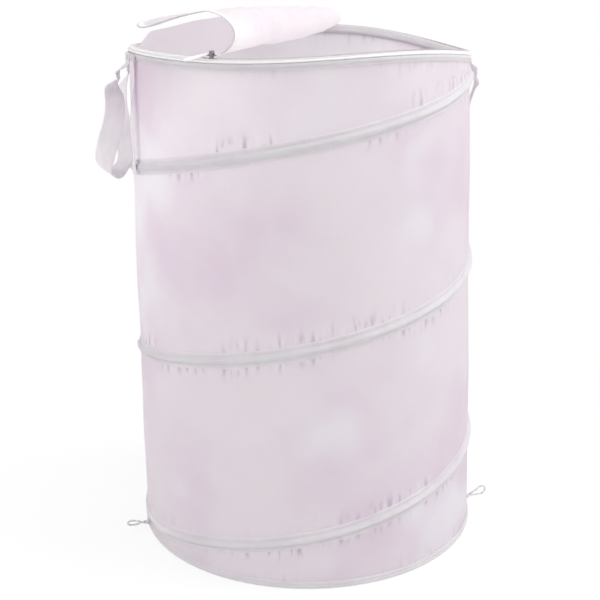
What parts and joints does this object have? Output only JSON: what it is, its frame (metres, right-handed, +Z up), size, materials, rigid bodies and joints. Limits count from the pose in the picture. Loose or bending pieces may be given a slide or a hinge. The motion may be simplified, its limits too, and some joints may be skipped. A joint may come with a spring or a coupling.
{
  "type": "pop-up laundry hamper",
  "caption": "Round collapsible laundry hamper of thin white nylon, held open by a spiral spring wire, with a zipped lid peeled half open and strap handles.",
  "frame": {"origin": "middle of the base, on the floor", "axes": "+Z up along the standing hamper, -Y towards the front; the rim stands 10 mm to -X of the base"},
  "size_m": [0.5189, 0.4461, 0.6869],
  "materials": {
    "nylon": "thin translucent white nylon, plain weave, slightly pink",
    "nylon_channel": "the same nylon doubled and stitched",
    "zip_tape": "woven polyester zip tape",
    "strap": "soft white nylon strap",
    "cord": "thin braided grey cord",
    "spring_wire": "drawn spring steel wire",
    "crimp": "pressed aluminium",
    "zip_coil": "nylon coil and moulded pull, off white",
    "slider": "dark painted die-cast zinc",
    "wire_cap": "dipped black plastic"
  },
  "bodies": {
    "base": {"base_panel": "nylon", "base_hoop_wire": "spring_wire", "base_hoop_ferrule": "crimp", "base_binding": "nylon_channel", "base_loop_tab_left": "nylon_channel", "base_loop_tab_right": "nylon_channel", "wall_fabric": "nylon", "wall_seam_tape": "zip_tape", "spiral_wire": "spring_wire", "spiral_channel": "nylon_channel", "spiral_cap_low": "wire_cap"},
    "rim": {"rim_hem": "nylon_channel", "rim_hoop_wire": "spring_wire", "rim_hoop_ferrule": "crimp", "rim_zip_tape": "zip_tape", "rim_piping": "nylon_channel", "rim_zip_coil": "zip_coil", "zip_bottom_stop": "crimp", "zip_top_stop": "crimp", "lid_panel_fixed": "nylon", "lid_edge_fixed": "zip_tape", "spiral_cap_high": "wire_cap", "tie_strap_patch": "strap", "handle_left_tail_front": "strap", "handle_left_tail_back": "strap", "handle_left_patch_front": "strap", "handle_left_patch_back": "strap", "handle_right_tail_front": "strap", "handle_right_tail_back": "strap", "handle_right_patch_front": "strap", "handle_right_patch_back": "strap"},
    "lid_bend_1": {"lid_panel_bend_1": "nylon", "lid_zip_bend_1_front": "zip_tape", "lid_zip_bend_1_back": "zip_tape"},
    "lid_bend_2": {"lid_panel_bend_2": "nylon", "lid_zip_bend_2_front": "zip_tape", "lid_zip_bend_2_back": "zip_tape"},
    "lid_bend_3": {"lid_panel_bend_3": "nylon", "lid_zip_bend_3_front": "zip_tape", "lid_zip_bend_3_back": "zip_tape"},
    "lid_flap": {"lid_panel_flap": "nylon", "lid_zip_flap": "zip_tape"},
    "zip_slider": {"zip_slider": "slider"},
    "zip_pull": {"zip_pull": "zip_coil"},
    "handle_left": {"handle_left": "strap"},
    "handle_right": {"handle_right": "strap"},
    "tie_strap": {"tie_strap": "strap"},
    "base_loop_left": {"base_loop_left": "cord"},
    "base_loop_right": {"base_loop_right": "cord"}
  },
  "joints": [
    {"name": "collapse", "type": "slide", "parent": "base", "child": "rim", "axis": [0, 0, 1], "range_m": [-0.575, 0], "stiffness_N_per_m": 25, "springref_m": 0.25, "deforming": ["wall_fabric", "wall_seam_tape", "spiral_wire", "spiral_channel", "handle_left", "handle_right", "tie_strap"]},
    {"name": "lid_fold_1", "type": "hinge", "parent": "rim", "child": "lid_bend_1", "pos_m": [-0.03537, 0.00924, 0.635], "axis": [0.342, 0.9397, 0], "range_deg": [0, 46.75]},
    {"name": "lid_fold_2", "type": "hinge", "parent": "lid_bend_1", "child": "lid_bend_2", "pos_m": [-0.02146, 0.00417, 0.65074], "axis": [0.342, 0.9397, 0], "range_deg": [0, 46.75]},
    {"name": "lid_fold_3", "type": "hinge", "parent": "lid_bend_2", "child": "lid_bend_3", "pos_m": [-0.0227, 0.00462, 0.67231], "axis": [0.342, 0.9397, 0], "range_deg": [0, 46.75]},
    {"name": "lid_fold_4", "type": "hinge", "parent": "lid_bend_3", "child": "lid_flap", "pos_m": [-0.03831, 0.0103, 0.68613], "axis": [0.342, 0.9397, 0], "range_deg": [0, 46.75]},
    {"name": "zip_travel", "type": "hinge", "parent": "rim", "child": "zip_slider", "pos_m": [-0.01, 0, 0.635], "axis": [0, 0, 1], "range_deg": [0, 194]},
    {"name": "zip_pull_swing", "type": "hinge", "parent": "zip_slider", "child": "zip_pull", "pos_m": [-0.10541, -0.18724, 0.6402], "axis": [0.1908, 0.9816, 0], "range_deg": [0, 75]},
    {"name": "handle_left_swing", "type": "hinge", "parent": "rim", "child": "handle_left", "pos_m": [-0.23065, -0.06319, 0.6026], "axis": [-0.0091, 1, 0], "range_deg": [0, 120]},
    {"name": "handle_right_swing", "type": "hinge", "parent": "rim", "child": "handle_right", "pos_m": [0.21227, 0.02351, 0.6026], "axis": [0.3502, -0.9367, 0], "range_deg": [0, 120]},
    {"name": "tie_strap_swing", "type": "hinge", "parent": "rim", "child": "tie_strap", "pos_m": [-0.20949, -0.08681, 0.6241], "axis": [-0.3987, 0.9171, 0], "range_deg": [0, 90]},
    {"name": "base_loop_left_swing", "type": "hinge", "parent": "base", "child": "base_loop_left", "pos_m": [-0.21226, -0.06733, 0.008], "axis": [-0.3024, 0.9532, 0], "range_deg": [0, 70]},
    {"name": "base_loop_right_swing", "type": "hinge", "parent": "base", "child": "base_loop_right", "pos_m": [0.22263, 0.00777, 0.008], "axis": [0.0349, -0.9994, 0], "range_deg": [0, 50]}
  ],
  "couplings": [
    {"joint": "lid_fold_2", "follows": "lid_fold_1", "ratio": 1},
    {"joint": "lid_fold_3", "follows": "lid_fold_1", "ratio": 1},
    {"joint": "lid_fold_4", "follows": "lid_fold_1", "ratio": 1}
  ]
}
